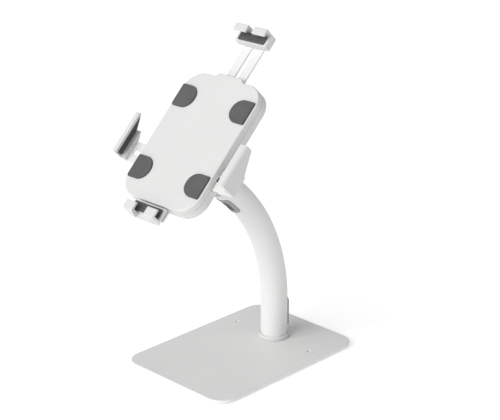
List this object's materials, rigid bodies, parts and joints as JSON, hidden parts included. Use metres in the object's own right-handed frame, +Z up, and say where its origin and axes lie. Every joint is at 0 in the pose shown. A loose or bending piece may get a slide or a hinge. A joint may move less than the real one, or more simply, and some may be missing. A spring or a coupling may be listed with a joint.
{
  "type": "tablet stand",
  "caption": "Countertop tablet stand: flat steel base, bent tube arm, and a key-locked holder whose arms grip the tablet's edges and which tilts and turns.",
  "frame": {"origin": "on the axis of the tube's straight foot, at the underside of the base mat", "axes": "+Z up; the tablet faces -Y and upwards; +X is the right-hand side for someone who looks at the screen"},
  "size_m": [0.176, 0.2692, 0.3923],
  "materials": {
    "powder_coated_steel": "satin white powder coat with a fine orange peel",
    "white_plastic": "fine moulded texture, satin",
    "port_plastic": "dark grey, satin",
    "pad_rubber": "grey, matt",
    "black_rubber": "black, matt",
    "zinc_steel": "zinc plated",
    "lock_metal": "polished face, lightly scratched"
  },
  "bodies": {
    "stand": {"base_mat": "black_rubber", "base_plate": "powder_coated_steel", "base_screw_1": "zinc_steel", "base_screw_2": "zinc_steel", "base_screw_3": "zinc_steel", "base_collar": "white_plastic", "arm_tube": "powder_coated_steel", "tube_foot": "zinc_steel", "rear_cable_outlet": "port_plastic", "arm_cable_inlet": "port_plastic", "arm_head": "powder_coated_steel", "arm_head_screw": "zinc_steel", "tilt_bolt": "zinc_steel", "tilt_nut": "zinc_steel", "tilt_washer_left": "black_rubber", "tilt_washer_right": "black_rubber"},
    "tilt_bracket": {"tilt_bracket": "powder_coated_steel", "rotor_washer": "black_rubber", "rotor_retainer": "zinc_steel", "rotor_screw": "zinc_steel"},
    "holder": {"front_cover": "white_plastic", "rear_cover": "white_plastic", "pad_upper_left": "pad_rubber", "pad_upper_right": "pad_rubber", "pad_lower_left": "pad_rubber", "pad_lower_right": "pad_rubber", "housing_screw_1": "zinc_steel", "housing_screw_2": "zinc_steel", "housing_screw_3": "zinc_steel", "housing_screw_4": "zinc_steel", "guide_screw_top": "zinc_steel", "guide_screw_left": "zinc_steel", "guide_screw_right": "zinc_steel", "bottom_bracket": "powder_coated_steel", "bottom_bracket_screw_left": "zinc_steel", "bottom_bracket_screw_right": "zinc_steel", "bottom_cradle": "white_plastic", "bottom_cradle_screw_left": "zinc_steel", "bottom_cradle_screw_right": "zinc_steel", "bottom_liner": "pad_rubber", "lock_body": "lock_metal", "clamp_plate": "zinc_steel"},
    "top_arm": {"top_strap": "powder_coated_steel", "top_clip": "white_plastic", "top_liner": "pad_rubber", "top_clip_screw_left": "zinc_steel", "top_clip_screw_right": "zinc_steel"},
    "left_arm": {"left_strap": "powder_coated_steel", "left_grip": "white_plastic", "left_liner": "pad_rubber", "left_grip_screw_upper": "zinc_steel", "left_grip_screw_lower": "zinc_steel"},
    "right_arm": {"right_strap": "powder_coated_steel", "right_grip": "white_plastic", "right_liner": "pad_rubber", "right_grip_screw_upper": "zinc_steel", "right_grip_screw_lower": "zinc_steel"},
    "lock": {"lock_plug": "lock_metal", "lock_cam": "zinc_steel"}
  },
  "joints": [
    {"name": "tilt", "type": "hinge", "parent": "stand", "child": "tilt_bracket", "pos_m": [0, -0.10779, 0.23624], "axis": [1, 0, 0], "range_deg": [-30, 45]},
    {"name": "turn", "type": "hinge", "parent": "tilt_bracket", "child": "holder", "pos_m": [0, -0.10779, 0.23624], "axis": [0, -0.7001, 0.7141], "range_deg": [-90, 90]},
    {"name": "top_arm_slide", "type": "slide", "parent": "holder", "child": "top_arm", "axis": [0, 0.7141, 0.7001], "range_m": [-0.04, 0.008]},
    {"name": "left_arm_slide", "type": "slide", "parent": "holder", "child": "left_arm", "axis": [-1, 0, 0], "range_m": [-0.01735, 0.0045]},
    {"name": "right_arm_slide", "type": "slide", "parent": "holder", "child": "right_arm", "axis": [1, 0, 0], "range_m": [-0.01735, 0.0045]},
    {"name": "lock_turn", "type": "hinge", "parent": "holder", "child": "lock", "pos_m": [0, -0.08416, 0.30128], "axis": [0, 0.7001, -0.7141], "range_deg": [0, 90]}
  ]
}
